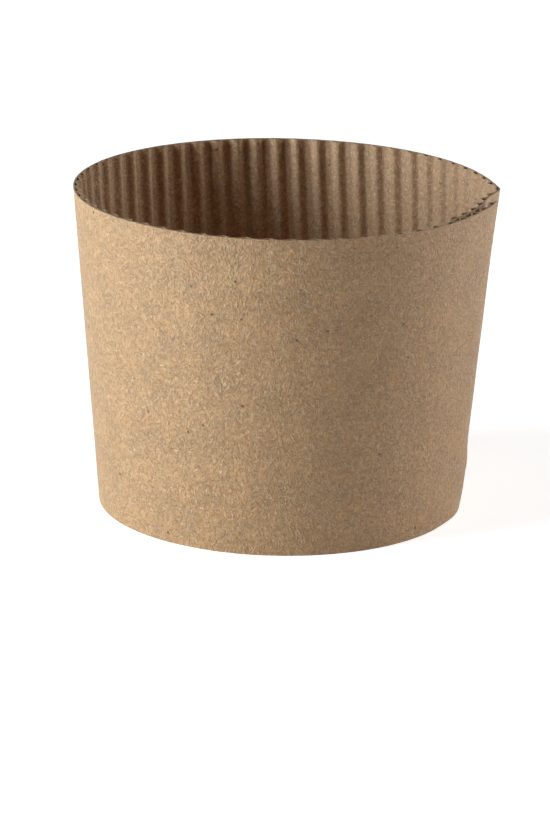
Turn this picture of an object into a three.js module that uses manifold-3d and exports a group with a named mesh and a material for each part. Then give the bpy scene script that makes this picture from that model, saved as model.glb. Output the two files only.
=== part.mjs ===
// Coffee cup sleeve: a strip of single-face corrugated board, wrapped into a tapered ring and glued.
// Units are millimetres, +Z is up, and the narrow end stands on Z = 0. Azimuths are in degrees,
// from the front (-Y) round to the right (+X).
import * as THREE from "three";
import { mergeVertices } from "three/addons/utils/BufferGeometryUtils.js";
import Module from "manifold-3d";

// Ring
const topRadius = 42.4; // outer radius of the wide upper rim
const narrowing = 5.6; // how much smaller the outer radius is at the lower rim
const sleeveHeight = 65.5;

// Board: a smooth liner outside, and a fluted medium bonded to its inner face
const linerThickness = 0.3;
const mediumThickness = 0.25;
const fluteDepth = 0.95; // clear depth of a tunnel
const flutePitch = 4.4;
const bondShare = 0.24; // share of the pitch where the medium is bonded flat to the liner
const fluteSkew = 2; // degrees from the middle line of the blank to the flutes

// Lap: the outer end of the strip lies over the inner end
const outerEndAzimuth = 79; // upper corner of the outer end
const outerEndLean = 2.4; // degrees between the outer end's cut and the straight line down the cone
const lapWidth = 18; // overlap at the upper rim, to the nearest half flute
const lapClearance = 0.15; // from the medium of the outer end to the liner of the inner end
const edgeLift = 0.45; // the outer end's free edge stands off by this much more
const edgeLiftArc = 15; // degrees over which it does so
const tuckArc = 12; // degrees from the fold over which the inner end dips under the outer one
const cornerLength = 1; // the cut's end face at each upper corner of the blank

// Glue line in the lap
const glueWidth = 5;
const glueSetback = 1.5; // from the inner end to the glue line
const glueMargin = 5; // bare board above and below the glue line
const glueBite = 0.12; // how far the glue soaks into the board on either side

// Creases that let the sleeve be stored flat: one beside the lap, and one opposite
const creaseAzimuth = 93;
const creaseRise = 1.1; // how far the one beside the lap still stands out at the upper rim
const creaseSpread = 8.6; // degrees over which that fades
const creaseCrush = 0.4; // share of the flute depth lost on a crease
const creaseCrushSpread = 2.5; // degrees

// Fineness of the faces
const stepsUp = 4; // along a flute
const stepsOverArch = 6; // over one arch of the medium
const glueStepsUp = 8;
const glueStepsRound = 4;

const bottomRadius = topRadius - narrowing;
const boardThickness = linerThickness + fluteDepth + mediumThickness;
const tuckDepth = boardThickness + lapClearance;

// The flat blank is part of a flat ring, whose centre is the tip of the cone.
const slantHeight = Math.hypot(narrowing, sleeveHeight);
const coneSine = narrowing / slantHeight;
const coneCosine = sleeveHeight / slantHeight;
const outerArcRadius = topRadius / coneSine;
const innerArcRadius = bottomRadius / coneSine;

// On the blank, x runs across the flutes and y along them, with the ring's centre at the origin.
const wantedTurn = 360 + THREE.MathUtils.radToDeg(lapWidth / topRadius);
const wantedSpan = THREE.MathUtils.degToRad(wantedTurn) * coneSine;
const skew = THREE.MathUtils.degToRad(fluteSkew);
const wantedRight = outerArcRadius * Math.sin(wantedSpan / 2 + skew);
const wantedLeft = outerArcRadius * Math.sin(-wantedSpan / 2 + skew);
const fluteCount = Math.round((wantedRight - wantedLeft) / flutePitch);
const blankRight = wantedRight;
const blankLeft = blankRight - fluteCount * flutePitch;

// The board's section is drawn on an open arc, so that no three of its points are in line.
const sectionTurn = THREE.MathUtils.degToRad(270);
const sectionRadius = (blankRight - blankLeft) / sectionTurn;

const arcHeight = (radius, x) => Math.sqrt(radius * radius - x * x);

// A cut across the flutes at one end of the blank, from its upper corner down, as a line y(x).
function endCut(cornerX, lean) {
  const cornerY = arcHeight(outerArcRadius, cornerX);
  const alongCone = Math.atan2(cornerX, cornerY);
  const direction = alongCone - Math.sign(cornerX) * THREE.MathUtils.degToRad(lean);
  const rise = 1 / Math.tan(direction);
  return (x) => cornerY - cornerLength + (x - cornerX) * rise;
}

const outerCut = endCut(blankRight, outerEndLean);
const innerCut = endCut(blankLeft, 0);

// Where a flute that starts at x begins, on the lower arc or on one of the end cuts.
const lowerEdge = (x) => Math.max(arcHeight(innerArcRadius, x), outerCut(x), innerCut(x));
const upperEdge = (x) => arcHeight(outerArcRadius, x);

// The x of a lower corner of the blank, where an end cut meets the lower arc.
function lowerCorner(cut, cornerX) {
  let outside = cornerX;
  let inside = 0;
  for (let i = 0; i < 50; i++) {
    const middle = (outside + inside) / 2;
    if (cut(middle) > arcHeight(innerArcRadius, middle)) outside = middle;
    else inside = middle;
  }
  return inside;
}

const lowerCorners = [lowerCorner(innerCut, blankLeft), lowerCorner(outerCut, blankRight)];

// How far round the ring a point of the blank lies, as an azimuth that goes on past 360.
const angleOnBlank = (x, y) => Math.atan2(x, y) - skew;
const outerEndAngle = angleOnBlank(blankRight, upperEdge(blankRight));
const innerEndAngle = angleOnBlank(blankLeft, upperEdge(blankLeft));
const azimuthOf = (angle) =>
  360 + outerEndAzimuth + THREE.MathUtils.radToDeg((angle - outerEndAngle) / coneSine);
const innerEndAzimuth = azimuthOf(innerEndAngle);

// The fluted medium: depth of its outer face below the liner at x, and its slope there.
const archShare = 1 - bondShare;
function wave(x) {
  const place = THREE.MathUtils.euclideanModulo((x - blankLeft) / flutePitch, 1);
  const phase = (place - bondShare / 2) / archShare;
  if (phase <= 0 || phase >= 1) return { depth: 0, slope: 0 };
  const turn = 2 * Math.PI * phase;
  return {
    depth: (fluteDepth * (1 - Math.cos(turn))) / 2,
    slope: (fluteDepth * Math.PI * Math.sin(turn)) / (archShare * flutePitch),
  };
}

// Depths are measured inwards from the outer face of the liner.
const mediumOuter = (x) => linerThickness + wave(x).depth;
const mediumInner = (x) => mediumOuter(x) + mediumThickness * Math.hypot(1, wave(x).slope);

const archStations = Array.from(
  { length: stepsOverArch + 1 },
  (_, i) => (bondShare / 2 + (i / stepsOverArch) * archShare) * flutePitch,
);

// Stations from one x to another, with any lower corner of the blank that lies between them.
function withCorners(stations) {
  const first = stations[0];
  const last = stations[stations.length - 1];
  const clear = flutePitch / 50;
  const corners = lowerCorners.filter(
    (c) => c > first && c < last && stations.every((s) => Math.abs(s - c) > clear),
  );
  return [...stations, ...corners].sort((a, b) => a - b);
}

// A point of the board's section, drawn on the open arc.
const sectionPoint = (x, depth) =>
  new THREE.Vector2(0, depth - sectionRadius).rotateAround(new THREE.Vector2(), x / sectionRadius);

function boardSection() {
  const linerStations = [];
  const mediumStations = [blankLeft];
  const tunnels = [];
  for (let i = 0; i < fluteCount; i++) {
    const start = blankLeft + i * flutePitch;
    const arch = archStations.map((s) => start + s);
    linerStations.push(start, start + flutePitch / 2);
    mediumStations.push(...arch);
    const archOver = withCorners(arch);
    const linerSide = withCorners([arch[0], arch[arch.length - 1]]).slice(1, -1);
    tunnels.push(
      new THREE.Path([
        ...archOver.map((x) => sectionPoint(x, mediumOuter(x))),
        ...linerSide.reverse().map((x) => sectionPoint(x, linerThickness)),
      ]),
    );
  }
  linerStations.push(blankRight);
  mediumStations.push(blankRight);
  const section = new THREE.Shape([
    ...withCorners(linerStations).map((x) => sectionPoint(x, 0)),
    ...withCorners(mediumStations)
      .reverse()
      .map((x) => sectionPoint(x, mediumInner(x))),
  ]);
  section.holes = tunnels;
  return section;
}

// Degrees from the crease beside the lap, and from the nearer one of the two.
const fromLapCrease = (azimuth) =>
  Math.abs(THREE.MathUtils.euclideanModulo(azimuth - creaseAzimuth + 180, 360) - 180);
const fromCrease = (azimuth) => Math.min(fromLapCrease(azimuth), 180 - fromLapCrease(azimuth));

// How far the wall stands off the plain cone at an azimuth along the strip, and at a share of the height.
function standOff(azimuth, share) {
  const tuckEnd = creaseAzimuth - tuckArc;
  const tuck = tuckDepth * (1 - THREE.MathUtils.smoothstep(azimuth, tuckEnd, creaseAzimuth));
  const outerEnd = 360 + outerEndAzimuth;
  const lift = edgeLift * THREE.MathUtils.smoothstep(azimuth, outerEnd - edgeLiftArc, outerEnd);
  const corner = creaseRise * share * Math.exp(-fromLapCrease(azimuth) / creaseSpread);
  return lift - tuck + corner;
}

// A place on the ring, from its azimuth, its distance from the tip of the cone, and its depth.
function placeOnRing(azimuth, slant, depth) {
  const crushed = creaseCrush * Math.exp(-((fromCrease(azimuth) / creaseCrushSpread) ** 2));
  const past = Math.max(depth - linerThickness, 0);
  const share = (slant - innerArcRadius) / slantHeight;
  const radius = slant * coneSine + standOff(azimuth, share) - (depth - past * crushed);
  const turn = THREE.MathUtils.degToRad(azimuth);
  return new THREE.Vector3(
    radius * Math.sin(turn),
    -radius * Math.cos(turn),
    (slant - innerArcRadius) * coneCosine,
  );
}

// The board is extruded along its flutes, cut to the blank, and wrapped round.
function wrappedBoard() {
  const board = new THREE.ExtrudeGeometry(boardSection(), {
    depth: 1,
    steps: stepsUp,
    bevelEnabled: false,
  });
  const points = board.getAttribute("position");
  const point = new THREE.Vector3();
  for (let i = 0; i < points.count; i++) {
    point.fromBufferAttribute(points, i);
    const x = Math.atan2(point.x, -point.y) * sectionRadius;
    const depth = sectionRadius - Math.hypot(point.x, point.y);
    const y = THREE.MathUtils.lerp(lowerEdge(x), upperEdge(x), point.z);
    const placed = placeOnRing(azimuthOf(angleOnBlank(x, y)), Math.hypot(x, y), depth);
    points.setXYZ(i, placed.x, placed.y, placed.z);
  }
  return board;
}

// The glue line is a thin strip between the inner end's liner and the outer end's medium.
function glueLine() {
  const arcOf = (length) => THREE.MathUtils.radToDeg(length / topRadius);
  const start = innerEndAzimuth + arcOf(glueSetback);
  const strip = new THREE.BoxGeometry(1, 1, 1, glueStepsRound, 1, glueStepsUp);
  const points = strip.getAttribute("position");
  const point = new THREE.Vector3();
  const margin = glueMargin / coneCosine;
  for (let i = 0; i < points.count; i++) {
    point.fromBufferAttribute(points, i).addScalar(0.5);
    const azimuth = start + point.x * arcOf(glueWidth);
    const slant = THREE.MathUtils.lerp(innerArcRadius + margin, outerArcRadius - margin, point.z);
    const depth = THREE.MathUtils.lerp(boardThickness - glueBite, tuckDepth + glueBite, point.y);
    const placed = placeOnRing(azimuth + 360, slant, depth);
    points.setXYZ(i, placed.x, placed.y, placed.z);
  }
  return strip;
}

const wasm = await Module();
wasm.setup();

function toSolid(geometry) {
  geometry.deleteAttribute("normal");
  geometry.deleteAttribute("uv");
  const merged = mergeVertices(geometry);
  return new wasm.Manifold(
    new wasm.Mesh({
      numProp: 3,
      vertProperties: merged.getAttribute("position").array,
      triVerts: new Uint32Array(merged.getIndex().array),
    }),
  );
}

function toGeometry(solid) {
  const mesh = solid.getMesh();
  const geometry = new THREE.BufferGeometry();
  geometry.setAttribute("position", new THREE.BufferAttribute(mesh.vertProperties, 3));
  geometry.setIndex(new THREE.BufferAttribute(mesh.triVerts, 1));
  geometry.computeVertexNormals();
  return geometry;
}

const kraft = new THREE.MeshStandardMaterial({ color: 0xb08d65, roughness: 0.92, metalness: 0 });

const sleeveGeometry = toGeometry(toSolid(wrappedBoard()).add(toSolid(glueLine())));
sleeveGeometry.computeBoundingBox();
const centre = sleeveGeometry.boundingBox.getCenter(new THREE.Vector3());
sleeveGeometry.translate(-centre.x, -centre.y, -sleeveGeometry.boundingBox.min.z);

const sleeve = new THREE.Mesh(sleeveGeometry, kraft);
sleeve.name = "sleeve";

const coffeeCupSleeve = new THREE.Group();
coffeeCupSleeve.add(sleeve);

export default coffeeCupSleeve;
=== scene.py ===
# %% [markdown]
# # A kraft cup sleeve, dressed in Blender
# The sleeve is one strip of single-face corrugated board: a smooth brown liner on the outside, and a
# fluted medium glued behind it. The strip is die-cut as a flat curved blank, wrapped into a tapered
# ring and glued to itself at the right. The frame holds the plain solid at its real size. This script
# models the same board again with finer faces, ply by ply, and gives it the look of raw kraft paper.

# %% Load the frame
import math
import bpy
import numpy as np
from mathutils import Matrix, Vector


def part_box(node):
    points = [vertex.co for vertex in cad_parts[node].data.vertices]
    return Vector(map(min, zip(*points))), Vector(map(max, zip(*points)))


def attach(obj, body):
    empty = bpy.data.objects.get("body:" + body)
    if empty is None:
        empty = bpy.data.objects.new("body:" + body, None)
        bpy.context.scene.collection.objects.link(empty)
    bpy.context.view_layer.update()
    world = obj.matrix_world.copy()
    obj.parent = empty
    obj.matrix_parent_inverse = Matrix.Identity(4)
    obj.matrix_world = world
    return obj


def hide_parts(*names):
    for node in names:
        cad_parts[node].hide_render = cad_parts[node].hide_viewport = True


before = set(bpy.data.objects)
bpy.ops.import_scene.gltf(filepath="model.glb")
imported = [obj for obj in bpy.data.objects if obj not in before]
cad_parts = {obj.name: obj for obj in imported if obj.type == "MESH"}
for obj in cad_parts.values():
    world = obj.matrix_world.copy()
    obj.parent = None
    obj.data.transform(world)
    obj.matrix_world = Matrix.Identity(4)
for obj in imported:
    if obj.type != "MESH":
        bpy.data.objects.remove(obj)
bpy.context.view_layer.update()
NODE = "sleeve"
node_low, node_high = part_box(NODE)
bpy.ops.object.select_all(action="DESELECT")
print("frame box in mm:", [round(1000 * value, 1) for value in (*node_low, *node_high)])

# %% [markdown]
# ## Sizes
# The board's own sizes are written once, in millimetres, and the ring's height and middle come from
# the frame's box. The plain cone touches the box at its left and at its back, so its axis is found
# from those two sides, and the standing fold at the right doesn't shift it.

# %% Ring and board
MM = 0.001
MM_PER_CM = 10
TOP_RADIUS = 42.4
NARROWING = 5.6
HEIGHT = (node_high[2] - node_low[2]) / MM
LINER = 0.3
MEDIUM = 0.25
FLUTE_DEPTH = 0.95
PITCH = 4.4
BOND_SHARE = 0.24  # share of the pitch where the medium lies flat on the liner
SKEW = math.radians(2)
CORNER_LENGTH = 1
BOARD = LINER + FLUTE_DEPTH + MEDIUM

bottom_radius = TOP_RADIUS - NARROWING
axis_x = node_low[0] / MM + TOP_RADIUS
axis_y = node_high[1] / MM - TOP_RADIUS
slant = math.hypot(NARROWING, HEIGHT)
cone_sine = NARROWING / slant
cone_cosine = HEIGHT / slant
outer_arc = TOP_RADIUS / cone_sine
inner_arc = bottom_radius / cone_sine
print(f"axis at {axis_x:.2f}, {axis_y:.2f} mm, arcs of the blank {inner_arc:.0f} and {outer_arc:.0f} mm")

# %% Lap, folds and glue
OUTER_END = 79  # azimuths are in degrees, from the front round to the right
OUTER_LEAN = math.radians(2.4)
LAP_WIDTH = 18
LAP_CLEARANCE = 0.15
EDGE_LIFT = 0.45  # how much further the free edge stands off
EDGE_LIFT_ARC = 15
TUCK_ARC = 12  # degrees before the fold over which the inner end comes out from under the outer one
CREASE = 93
CREASE_RISE = 1.1  # how far the fold beside the lap stands out at the top
CREASE_SPREAD = 8.6
CREASE_CRUSH = 0.4  # share of the flute depth that is lost on a fold
CREASE_CRUSH_SPREAD = 2.5
GLUE_WIDTH = 5
GLUE_SETBACK = 1.5
GLUE_MARGIN = 5
GLUE_BITE = 0.12
GLUE_CUTS = 11
tuck_depth = BOARD + LAP_CLEARANCE
print(f"the inner end dips under the outer one by {tuck_depth:.2f} mm")

# %% [markdown]
# ## The blank
# On the flat blank, x runs across the flutes and y along them, and the ring that the strip is cut
# from has its centre at the origin. Every flute is a straight line of one x. It starts on the lower
# arc, or on the cut at one end of the strip, and ends on the upper arc. The wrapped form can't be
# reached by turning and scaling a primitive, so a flat grid is added as a start and its points are
# moved, first to the blank and then round the cone.

# %% Outline of the blank
turn = 2 * math.pi + LAP_WIDTH / TOP_RADIUS
half_span = turn * cone_sine / 2
blank_right = outer_arc * math.sin(half_span + SKEW)
wanted_left = outer_arc * math.sin(-half_span + SKEW)
flute_count = round((blank_right - wanted_left) / PITCH)
blank_left = blank_right - flute_count * PITCH


def upper_edge(x):
    return np.sqrt(outer_arc**2 - x**2)


def end_cut(corner_x, lean):
    """The cut at one end of the strip, as a line that gives y for an x."""
    corner_y = math.sqrt(outer_arc**2 - corner_x**2)
    direction = math.atan2(corner_x, corner_y) - math.copysign(lean, corner_x)
    return lambda x: corner_y - CORNER_LENGTH + (x - corner_x) / math.tan(direction)


outer_cut = end_cut(blank_right, OUTER_LEAN)
inner_cut = end_cut(blank_left, 0)


def lower_edge(x):
    return np.maximum(np.sqrt(inner_arc**2 - x**2), np.maximum(outer_cut(x), inner_cut(x)))


def azimuth_on_ring(x, y):
    """Degrees round the ring from the front, going on past 360 at the outer end."""
    end_angle = math.atan2(blank_right, float(upper_edge(blank_right)))
    return 360 + OUTER_END + np.degrees((np.arctan2(x, y) - end_angle) / cone_sine)


INNER_END = float(azimuth_on_ring(blank_left, upper_edge(blank_left)))
print(f"{flute_count} flutes, inner end at azimuth {INNER_END:.1f}, outer end at {OUTER_END}")

# %% [markdown]
# ## Standing off the cone
# A sleeve that was stored flat never opens to a true cone. The fold beside the lap stands out at the
# top, the inner end dips under the outer one, and the outer end's free edge springs away a little,
# more at two places near the bottom. Hands and packing leave shallow dents of some hundredths of a
# millimetre. All of this is one function of the place on the ring, so every ply bends alike and
# none of them can cut through another.

# %% Smooth randomness that is the same each run
FLUTE_SEED = 7
DENT_SEED = 3
DENT_SHIFT_SEED = 4
WANDER_NUMBERS = 4096
WANDER_START = 512
rng = np.random.default_rng(FLUTE_SEED)


def smoothstep(value, start, end):
    """0 at the start, 1 at the end, and smooth in between."""
    along = np.clip((value - start) / (end - start), 0, 1)
    return along * along * (3 - 2 * along)


def wander(value, step, strength, seed):
    """A smooth random line through one random number for each step."""
    numbers = np.random.default_rng(seed).normal(0, strength, WANDER_NUMBERS)
    place = value / step + WANDER_START
    index = np.floor(place).astype(int)
    share = place - index
    share = share * share * (3 - 2 * share)
    return numbers[index] * (1 - share) + numbers[index + 1] * share


# %% How far the wall stands off
EDGE_BUMPS = ((9.6, 3.2, 0.4), (3.9, 1.6, 0.3))  # height, spread and depth in mm, up the free edge
SPRING_START = 9  # degrees before the free edge where its bumps begin
SPRING_PAST = 3  # degrees past the free edge where they would be at their full depth
DENT_DEPTH = 0.06
DENT_ARC = 14
DENT_TURN = 2.2  # radians of the dents' wave over the height
DENT_SHIFT = 0.9
DENT_SHIFT_ARC = 25


def from_lap_crease(azimuth):
    return np.abs(np.mod(azimuth - CREASE + 180, 360) - 180)


def from_crease(azimuth):
    return np.minimum(from_lap_crease(azimuth), 180 - from_lap_crease(azimuth))


def stand_off(azimuth, height):
    """How far the wall stands off the plain cone, in mm."""
    share = height / HEIGHT
    tuck = tuck_depth * (1 - smoothstep(azimuth, CREASE - TUCK_ARC, CREASE))
    near_edge = smoothstep(azimuth, 360 + OUTER_END - EDGE_LIFT_ARC, 360 + OUTER_END)
    corner = CREASE_RISE * share * np.exp(-from_lap_crease(azimuth) / CREASE_SPREAD)
    bumps = sum(
        depth * np.exp(-(((height - middle) / spread) ** 2)) for middle, spread, depth in EDGE_BUMPS
    )
    springing = smoothstep(azimuth, 360 + OUTER_END - SPRING_START, 360 + OUTER_END + SPRING_PAST)
    return EDGE_LIFT * near_edge - tuck + corner + bumps * springing


def dents(azimuth, height):
    shift = wander(azimuth, DENT_SHIFT_ARC, DENT_SHIFT, DENT_SHIFT_SEED)
    return wander(azimuth, DENT_ARC, DENT_DEPTH, DENT_SEED) * np.sin(height / HEIGHT * DENT_TURN + shift)


def wrap(x, share, depth):
    """Places points of the board, given by x, the share of their flute's length and their depth."""
    y = lower_edge(x) + share * (upper_edge(x) - lower_edge(x))
    azimuth = azimuth_on_ring(x, y)
    distance = np.hypot(x, y)
    height = (distance - inner_arc) * cone_cosine
    crushed = CREASE_CRUSH * np.exp(-((from_crease(azimuth) / CREASE_CRUSH_SPREAD) ** 2))
    kept = depth - np.maximum(depth - LINER, 0) * crushed
    radius = distance * cone_sine + stand_off(azimuth, height) + dents(azimuth, height) - kept
    angle = np.radians(azimuth)
    place = np.stack([axis_x + radius * np.sin(angle), axis_y - radius * np.cos(angle), height], axis=-1)
    place[:, 2] += node_low[2] / MM
    return place * MM


fold_top = float(stand_off(np.array(CREASE), np.array(HEIGHT)))
print(f"the fold beside the lap stands out by {fold_top:.2f} mm at the top")

# %% [markdown]
# ## From a grid to a ply
# Each ply is a grid primitive with its rows along the flutes. Its points are moved to the blank and
# wrapped, its UV map is set to the place on the flat blank, in centimetres, so that the fibres
# follow the paper, and a Solidify modifier gives it the paper's thickness. The cut edges that the
# modifier makes get a slot of their own, because cut paper is paler and rougher than its face.

# %% Helper for a ply
SMOOTH_ANGLE = math.radians(50)
FINE_POINTS = 200001


def deselect():
    bpy.ops.object.select_all(action="DESELECT")


def add_ply(name, columns, rows, depth_of, thickness, offset):
    """A grid wrapped round the cone. columns is the list of x, depth_of gives the depth at an x."""
    deselect()
    bpy.ops.mesh.primitive_grid_add(
        x_subdivisions=len(columns) - 1, y_subdivisions=rows, size=2, location=(0, 0, 0)
    )
    ply = bpy.context.object
    ply.name = name
    ply.data.name = name
    points = np.empty(len(ply.data.vertices) * 3)
    ply.data.vertices.foreach_get("co", points)
    points = points.reshape(-1, 3)
    column = np.rint((points[:, 0] + 1) / 2 * (len(columns) - 1)).astype(int)
    share = (points[:, 1] + 1) / 2
    x = columns[column]
    place = wrap(x, share, depth_of(x))
    ply.data.vertices.foreach_set("co", place.ravel())

    blank_y = lower_edge(x) + share * (upper_edge(x) - lower_edge(x))
    corner = np.empty(len(ply.data.loops), dtype=int)
    ply.data.loops.foreach_get("vertex_index", corner)
    flat = np.stack([x, blank_y - inner_arc], axis=-1)[corner] / MM_PER_CM
    ply.data.uv_layers.active.data.foreach_set("uv", flat.ravel())

    ply.data.materials.append(None)
    ply.data.materials.append(None)
    thick = ply.modifiers.new("Paper thickness", "SOLIDIFY")
    thick.thickness = thickness * MM
    thick.offset = offset
    thick.use_even_offset = True
    thick.material_offset_rim = 1
    bpy.ops.object.modifier_apply(modifier=thick.name)
    ply.data.polygons.foreach_set("use_smooth", np.ones(len(ply.data.polygons), dtype=bool))
    bpy.ops.object.shade_smooth_by_angle(angle=SMOOTH_ANGLE)
    deselect()
    triangles = sum(len(face.vertices) - 2 for face in ply.data.polygons)
    print(f"{name}: {len(columns)} columns, {triangles} triangles")
    return ply


def place_on_corners(columns):
    """Moves the nearest columns to the lower corners of the blank, so that both come out sharp."""
    fine = np.linspace(blank_left, blank_right, FINE_POINTS)
    on_arc = np.sqrt(inner_arc**2 - fine**2) >= np.maximum(outer_cut(fine), inner_cut(fine))
    for corner in (fine[on_arc][0], fine[on_arc][-1]):
        columns[np.argmin(np.abs(columns - corner))] = corner
    return columns


# %% [markdown]
# ## The fluted medium
# The medium leaves the liner, arches over a tunnel and comes back to it, once in each pitch. No two
# flutes of real board are quite alike: the corrugating rolls leave some a little flatter and some
# pushed to one side, so each flute gets its own depth and lean. The glue draws the liner in by a few
# hundredths of a millimetre along the bond lines, which is the washboard that a low light finds. A
# plain wave would do for the medium, but real flutes lie flat for a moment where they are bonded.

# %% Shape of the medium
FLUTE_UNEVENNESS = 0.05
FLATTEST = -0.12
DEEPEST = 0.1
LEAN_UNEVENNESS = 0.035
RIPPLE = 0.025
BOND_BITE = 0.01  # how far the medium sinks into the liner where it is bonded
ROUNDING = 1e-9
flute_height = 1 + rng.normal(0, FLUTE_UNEVENNESS, flute_count + 1).clip(FLATTEST, DEEPEST)
flute_lean = rng.normal(0, LEAN_UNEVENNESS, flute_count + 1)
print(f"flute depth {FLUTE_DEPTH * flute_height.min():.2f} to {FLUTE_DEPTH * flute_height.max():.2f} mm")


def flute_arch(x):
    """Share of the flute depth at x: 0 on the bond lines and 1 on the crest."""
    place = (x - blank_left) / PITCH
    flute = np.clip(np.floor(place + ROUNDING).astype(int), 0, flute_count)
    phase = (place - flute - BOND_SHARE / 2) / (1 - BOND_SHARE)
    leaning = phase + flute_lean[flute] * np.sin(np.pi * np.clip(phase, 0, 1))
    arch = (1 - np.cos(2 * np.pi * np.clip(leaning, 0, 1))) / 2
    return np.where((phase > 0) & (phase < 1), arch, 0) * flute_height[flute]


def medium_depth(x):
    return LINER + MEDIUM / 2 - BOND_BITE + FLUTE_DEPTH * flute_arch(x)


def liner_depth(x):
    return RIPPLE * (1 + np.cos(2 * np.pi * (x - blank_left) / PITCH)) / 2


# %% Add the two plies
LINER_COLUMNS = 8  # for each flute
LINER_ROWS = 44
MEDIUM_COLUMNS = 14
MEDIUM_ROWS = 24
liner_columns = place_on_corners(np.linspace(blank_left, blank_right, flute_count * LINER_COLUMNS + 1))
medium_columns = place_on_corners(np.linspace(blank_left, blank_right, flute_count * MEDIUM_COLUMNS + 1))
liner = add_ply("outer_liner", liner_columns, LINER_ROWS, liner_depth, LINER, -1)
medium = add_ply("fluted_medium", medium_columns, MEDIUM_ROWS, medium_depth, MEDIUM, 0)

# %% [markdown]
# ## The glue line
# One thin line of glue holds the lap. It lies between the liner of the inner end and the flute tips
# of the outer end, so only a sliver of it can be seen from above. A cube is cut into short steps and
# bent round the cone, and it stands off by the same function as the plies that it joins.

# %% Add the glue line
def add_glue_line():
    deselect()
    bpy.ops.mesh.primitive_cube_add(size=1, location=(0, 0, 0))
    glue = bpy.context.object
    glue.name = "glue_line"
    glue.data.name = "glue_line"
    bpy.ops.object.mode_set(mode="EDIT")
    bpy.ops.mesh.subdivide(number_cuts=GLUE_CUTS)
    bpy.ops.object.mode_set(mode="OBJECT")
    start = INNER_END + math.degrees(GLUE_SETBACK / TOP_RADIUS)
    width = math.degrees(GLUE_WIDTH / TOP_RADIUS)
    for vertex in glue.data.vertices:
        across, inwards, up = (value + 0.5 for value in vertex.co)
        height = GLUE_MARGIN + up * (HEIGHT - 2 * GLUE_MARGIN)
        azimuth = start + across * width
        shallow = BOARD - GLUE_BITE
        depth = shallow + inwards * (tuck_depth + GLUE_BITE - shallow)
        radius = bottom_radius + NARROWING * height / HEIGHT - depth
        radius += float(stand_off(np.array(azimuth + 360), np.array(height)))
        angle = math.radians(azimuth)
        vertex.co = (
            (axis_x + radius * math.sin(angle)) * MM,
            (axis_y - radius * math.cos(angle)) * MM,
            height * MM + node_low[2],
        )
    deselect()
    print(f"glue_line: {len(glue.data.polygons)} faces")
    return glue


glue_line = add_glue_line()

# %% [markdown]
# ## Kraft paper
# Unbleached kraft is a felt of brown wood fibres. Close up it shows soft clouds, a fine grain, short
# pale and dark fibres that lie every way, and a few dark specks of bark. The fibres come from a
# noise that is stretched into streaks, in six directions one after the other: its high values are
# pale fibres and its low values are dark ones. A second, coarse noise bends them a little. Modelled
# hairs would show the same at many times the cost. All of it reads the UV map, which is the flat
# blank in centimetres, so it follows the paper round the ring.

# %% Node helpers
def new_material(name):
    material = bpy.data.materials.new(name)
    material.use_nodes = True
    material.node_tree.nodes.clear()
    return material


def node(material, kind, inputs=None, **settings):
    made = material.node_tree.nodes.new(kind)
    for key, value in settings.items():
        setattr(made, key, value)
    for key, value in (inputs or {}).items():
        if isinstance(value, bpy.types.NodeSocket):
            material.node_tree.links.new(value, made.inputs[key])
        else:
            made.inputs[key].default_value = value
    return made


def noise(material, where, scale, detail, roughness):
    made = node(
        material,
        "ShaderNodeTexNoise",
        {"Vector": where, "Scale": scale, "Detail": detail, "Roughness": roughness},
        noise_dimensions="3D",
    )
    return made.outputs["Fac"]


def math_node(material, operation, first, second=0.0, clamp=False):
    made = node(material, "ShaderNodeMath", {0: first, 1: second}, operation=operation, use_clamp=clamp)
    return made.outputs[0]


def between(material, value, low, high):
    """0 at low, 1 at high, and smooth in between. Low may be the larger number of the two."""
    made = node(
        material,
        "ShaderNodeMapRange",
        {"Value": value, "From Min": low, "From Max": high},
        interpolation_type="SMOOTHSTEP",
    )
    return made.outputs["Result"]


def fibres(material, where, turns, seed):
    """Fine streaks that lie in several directions. Gives the pale ones and the dark ones."""
    pale = 0.0
    dark = 0.0
    for index in range(turns):
        # Each direction reads the noise at a place of its own, and the turns are a little uneven.
        place = node(
            material,
            "ShaderNodeMapping",
            {
                "Vector": where,
                "Location": (seed + 7.3 * index, 3.1 * seed + 2.9 * index, index),
                "Rotation": (0, 0, math.pi * (index + 0.35 * math.sin(5 * index + seed)) / turns),
                "Scale": (FIBRE_LENGTH, FIBRE_WIDTH, 1),
            },
            vector_type="TEXTURE",
        ).outputs["Vector"]
        field = noise(material, place, 1.0, 1.0, 0.5)
        pale = math_node(material, "ADD", pale, between(material, field, *PALE_RANGE))
        dark = math_node(material, "ADD", dark, between(material, field, *DARK_RANGE))
    return (math_node(material, "MINIMUM", total, 1.0) for total in (pale, dark))


def tinted(material, colour, tint, amount, blend="MIX"):
    """The colour, mixed with or multiplied by the tint. Both can be a colour or a socket."""
    made = node(material, "ShaderNodeMix", data_type="RGBA", blend_type=blend)
    for key, value in ((0, amount), (6, colour), (7, tint)):
        if isinstance(value, bpy.types.NodeSocket):
            material.node_tree.links.new(value, made.inputs[key])
        else:
            made.inputs[key].default_value = value
    return made.outputs[2]


# %% Kraft paper itself
def srgb(red, green, blue):
    """A linear colour from screen values of 0 to 255."""
    screen = [value / 255 for value in (red, green, blue)]
    linear = [value / 12.92 if value <= 0.04045 else ((value + 0.055) / 1.055) ** 2.4 for value in screen]
    return (*linear, 1)


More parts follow.
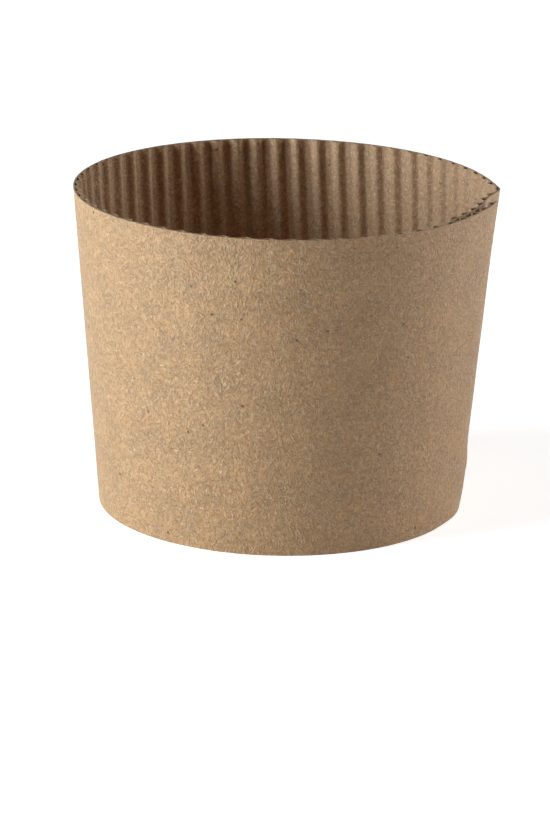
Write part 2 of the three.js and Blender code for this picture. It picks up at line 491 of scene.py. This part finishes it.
KRAFT = srgb(203, 154, 99)
MEDIUM_KRAFT = srgb(184, 142, 100)
CUT_KRAFT = srgb(172, 144, 114)
PALE_FIBRE = srgb(240, 209, 168)
DARK_FIBRE = srgb(104, 68, 36)
SPECK = srgb(74, 48, 28)
WHITE = (1, 1, 1, 1)
WARM_TINT = (1, 0.965, 0.925, 1)
COOL_TINT = (0.97, 0.985, 0.98, 1)
FIBRE_LENGTH = 0.11  # lengths on the paper are in centimetres, and scales are for each centimetre
FIBRE_WIDTH = 0.031
FIBRE_TURNS = 6
FIBRE_SEED = 4.0
FIBRE_SHOW = 0.42
PALE_RANGE = (0.60, 0.74)
DARK_RANGE = (0.40, 0.26)
CURL_SCALE = 3.5
CURL = 0.12
CLOUD_SCALE = 1.5
CLOUD_SHOW = 0.09
MOTTLE_SCALE = 8
MOTTLE_SHOW = 0.34
HUE_SCALE = 2.6
SPECK_SCALE = 3.2
SPECK_SHOW = 0.9
SPECK_SIZE = (0.13, 0.06)
SPECK_SHARE = (0.76, 0.84)  # cells of a higher random number than this get a speck


def shaded(colour, factor):
    """The colour, made darker or lighter."""
    return (*[min(1, channel * factor) for channel in colour[:3]], 1)


def kraft_paper(name, base, contrast, roughness, bump):
    """Kraft paper of a base colour. The bump is the height of its fibres in mm."""
    material = new_material(name)
    flat = node(material, "ShaderNodeUVMap").outputs["UV"]
    curl = node(material, "ShaderNodeTexNoise", {"Vector": flat, "Scale": CURL_SCALE, "Detail": 1.0})
    bend = node(
        material,
        "ShaderNodeVectorMath",
        {0: curl.outputs["Color"], 1: (CURL, CURL, 0)},
        operation="MULTIPLY",
    )
    where = node(
        material, "ShaderNodeVectorMath", {0: flat, 1: bend.outputs[0]}, operation="ADD"
    ).outputs[0]
    clouds = between(material, noise(material, where, CLOUD_SCALE, 3.0, 0.6), 0.3, 0.7)
    mottle = between(material, noise(material, where, MOTTLE_SCALE, 4.0, 0.68), 0.25, 0.75)
    pale, dark = fibres(material, where, FIBRE_TURNS, FIBRE_SEED)
    hue = between(material, noise(material, where, HUE_SCALE, 2.0, 0.5), 0.35, 0.65)
    cells = node(material, "ShaderNodeTexVoronoi", {"Vector": where, "Scale": SPECK_SCALE, "Randomness": 1.0})
    small = between(material, cells.outputs["Distance"], *SPECK_SIZE)
    picked = node(material, "ShaderNodeSeparateColor", {"Color": cells.outputs["Color"]}).outputs[0]
    speck = math_node(material, "MULTIPLY", small, between(material, picked, *SPECK_SHARE))

    darker = shaded(base, 1 - CLOUD_SHOW * contrast)
    lighter = shaded(base, 1 + CLOUD_SHOW * contrast)
    colour = tinted(material, darker, lighter, clouds)
    tint = tinted(material, WARM_TINT, COOL_TINT, hue)
    colour = tinted(material, colour, tint, 1.0, "MULTIPLY")
    tone = tinted(material, shaded(WHITE, 1 - MOTTLE_SHOW * contrast), WHITE, mottle)
    colour = tinted(material, colour, tone, 1.0, "MULTIPLY")
    for flecks, fleck_colour, show in (
        (pale, PALE_FIBRE, FIBRE_SHOW),
        (dark, DARK_FIBRE, FIBRE_SHOW),
        (speck, SPECK, SPECK_SHOW),
    ):
        amount = math_node(material, "MULTIPLY", flecks, show * contrast)
        colour = tinted(material, colour, fleck_colour, amount)

    raised = math_node(material, "SUBTRACT", pale, math_node(material, "MULTIPLY", dark, 0.6))
    relief = math_node(material, "ADD", raised, mottle)
    bumped = node(
        material, "ShaderNodeBump", {"Height": relief, "Strength": 1.0, "Distance": bump * MM}
    ).outputs["Normal"]
    shader = node(
        material,
        "ShaderNodeBsdfPrincipled",
        {"Base Color": colour, "Roughness": roughness, "Specular IOR Level": 0.8, "Normal": bumped},
    )
    node(material, "ShaderNodeOutputMaterial", {"Surface": shader.outputs[0]})
    print(f"{name}: {len(material.node_tree.nodes)} nodes")
    return material


liner_face = kraft_paper("kraft_liner", KRAFT, contrast=1.0, roughness=0.55, bump=0.09)
medium_face = kraft_paper("kraft_medium", MEDIUM_KRAFT, contrast=0.8, roughness=0.7, bump=0.04)
cut_edge = kraft_paper("kraft_cut_edge", CUT_KRAFT, contrast=0.7, roughness=0.8, bump=0.03)

# %% [markdown]
# ## Dried glue
# The lap is held by a water-based glue that dries to a yellowish, half-clear skin. So little of it
# shows that a plain mixed colour does, without any light passing through it.

# %% Glue and slots
THICK_GLUE = srgb(176, 140, 96)
THIN_GLUE = srgb(206, 176, 132)
GLUE_SCALE = 900  # for each metre, because it reads the object's own coordinates


def dried_glue():
    material = new_material("dried_glue")
    where = node(material, "ShaderNodeTexCoord").outputs["Object"]
    thickness = noise(material, where, GLUE_SCALE, 2.0, 0.5)
    colour = tinted(material, THICK_GLUE, THIN_GLUE, thickness)
    shader = node(
        material, "ShaderNodeBsdfPrincipled", {"Base Color": colour, "Roughness": 0.45}
    )
    node(material, "ShaderNodeOutputMaterial", {"Surface": shader.outputs[0]})
    return material


for ply, face in ((liner, liner_face), (medium, medium_face)):
    ply.data.materials[0] = face
    ply.data.materials[1] = cut_edge
glue_line.data.materials.append(dried_glue())
for piece in (liner, medium, glue_line):
    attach(piece, "root")
    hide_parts(NODE)
print("pieces:", [piece.name for piece in (liner, medium, glue_line)])

# %% [markdown]
# ## Floor and light
# The sleeve stands on a plain white floor that fills the view. A large, slightly cool soft light
# stands at the left and a weaker one at the right, so the wall is bright at the left, darkest a
# little right of the front, and lifts again towards the lap. The floor glows a little for the camera
# and for reflections, but not as a light, so that it reads as white paper and keeps the shadow.

# %% Floor
FLOOR_SIZE = 8
FLOOR_WHITE = (0.8, 0.8, 0.8, 1)
FLOOR_GLOW = 0.67


def add_floor():
    deselect()
    bpy.ops.mesh.primitive_plane_add(size=FLOOR_SIZE, location=(0, 0, node_low[2]))
    floor = bpy.context.object
    floor.name = "floor"
    material = new_material("white_floor")
    seen = node(material, "ShaderNodeLightPath")
    direct = math_node(material, "ADD", seen.outputs["Is Camera Ray"], seen.outputs["Is Glossy Ray"])
    direct = math_node(material, "ADD", direct, seen.outputs["Is Transmission Ray"], clamp=True)
    diffuse = node(material, "ShaderNodeBsdfDiffuse", {"Color": FLOOR_WHITE})
    strength = math_node(material, "MULTIPLY", direct, FLOOR_GLOW)
    white = node(material, "ShaderNodeEmission", {"Color": WHITE, "Strength": strength})
    both = node(material, "ShaderNodeAddShader", {0: diffuse.outputs[0], 1: white.outputs[0]})
    node(material, "ShaderNodeOutputMaterial", {"Surface": both.outputs[0]})
    floor.data.materials.append(material)
    deselect()
    print(f"floor: {FLOOR_SIZE} m square")


add_floor()

# %% Lights
WORLD_STRENGTH = 0.01
SOFTBOXES = (
    # name, azimuth and elevation in degrees, distance and size in metres, power in watts, colour
    ("left_softbox", -70, 10, 1.0, (0.55, 0.8), 21.5, (0.79, 0.9, 1)),
    ("right_softbox", 104, 20, 1.0, (0.8, 0.8), 7.9, (0.95, 0.98, 1)),
    ("top_softbox", 0, 89, 1.0, (1.0, 1.0), 0.6, (1, 0.9, 0.78)),
    ("warm_fill", 5, 30, 1.2, (0.5, 0.5), 0.35, (1, 0.5, 0.2)),
)


def add_softbox(name, azimuth, elevation, distance, size, power, colour):
    """An area lamp that looks at the middle of the sleeve."""
    data = bpy.data.lights.new(name, "AREA")
    data.shape = "RECTANGLE"
    data.size, data.size_y = size
    data.energy = power
    data.color = colour
    lamp = bpy.data.objects.new(name, data)
    bpy.context.scene.collection.objects.link(lamp)
    around = math.radians(azimuth)
    up = math.radians(elevation)
    offset = Vector(
        (math.sin(around) * math.cos(up), -math.cos(around) * math.cos(up), math.sin(up))
    )
    target = Vector((0, 0, HEIGHT * MM / 2))
    lamp.location = target + offset * distance
    lamp.rotation_euler = (-offset).to_track_quat("-Z", "Y").to_euler()
    print(f"{name}: {power} W")


for softbox in SOFTBOXES:
    add_softbox(*softbox)

world = bpy.data.worlds.new("studio")
bpy.context.scene.world = world
world.use_nodes = True
background = world.node_tree.nodes["Background"]
background.inputs["Color"].default_value = WHITE
background.inputs["Strength"].default_value = WORLD_STRENGTH

# %% [markdown]
# ## Camera
# The photograph looks down at the sleeve by about sixteen degrees through a long lens, and it leans
# by about one degree. The lens and the direction are worked out from where the sleeve's middle lands
# in a picture of 550 by 825 pixels.

# %% Camera
PICTURE = (550, 825)
PIXELS_PER_UNIT = 3936.0  # pixels that a thing as wide as its distance would cover
SENSOR_WIDTH = 36
DISTANCE = 0.8  # metres, like the height that the camera aims at
AIM_HEIGHT = 0.030
AIM_PIXEL = (283.6, 356.4)
NEAREST = 0.01
ELEVATION = math.radians(16.46)
ROLL = math.radians(1.165)


def add_camera():
    data = bpy.data.cameras.new("camera")
    data.sensor_width = SENSOR_WIDTH
    data.lens = PIXELS_PER_UNIT * data.sensor_width / max(PICTURE)
    data.shift_x = (PICTURE[0] / 2 - AIM_PIXEL[0]) / max(PICTURE)
    data.shift_y = (AIM_PIXEL[1] - PICTURE[1] / 2) / max(PICTURE)
    data.clip_start = NEAREST
    camera = bpy.data.objects.new("camera", data)
    bpy.context.scene.collection.objects.link(camera)
    forward = Vector((0, math.cos(ELEVATION), -math.sin(ELEVATION)))
    upright = Vector((0, math.sin(ELEVATION), math.cos(ELEVATION)))
    level = Vector((1, 0, 0))
    right = level * math.cos(ROLL) + upright * math.sin(ROLL)
    up = upright * math.cos(ROLL) - level * math.sin(ROLL)
    place = Vector((0, 0, AIM_HEIGHT + node_low[2])) - forward * DISTANCE
    camera.matrix_world = Matrix(
        (
            (right.x, up.x, -forward.x, place.x),
            (right.y, up.y, -forward.y, place.y),
            (right.z, up.z, -forward.z, place.z),
            (0, 0, 0, 1),
        )
    )
    return camera


bpy.context.scene.camera = add_camera()
bpy.context.scene.view_settings.view_transform = "Standard"
print(f"lens {bpy.context.scene.camera.data.lens:.0f} mm")
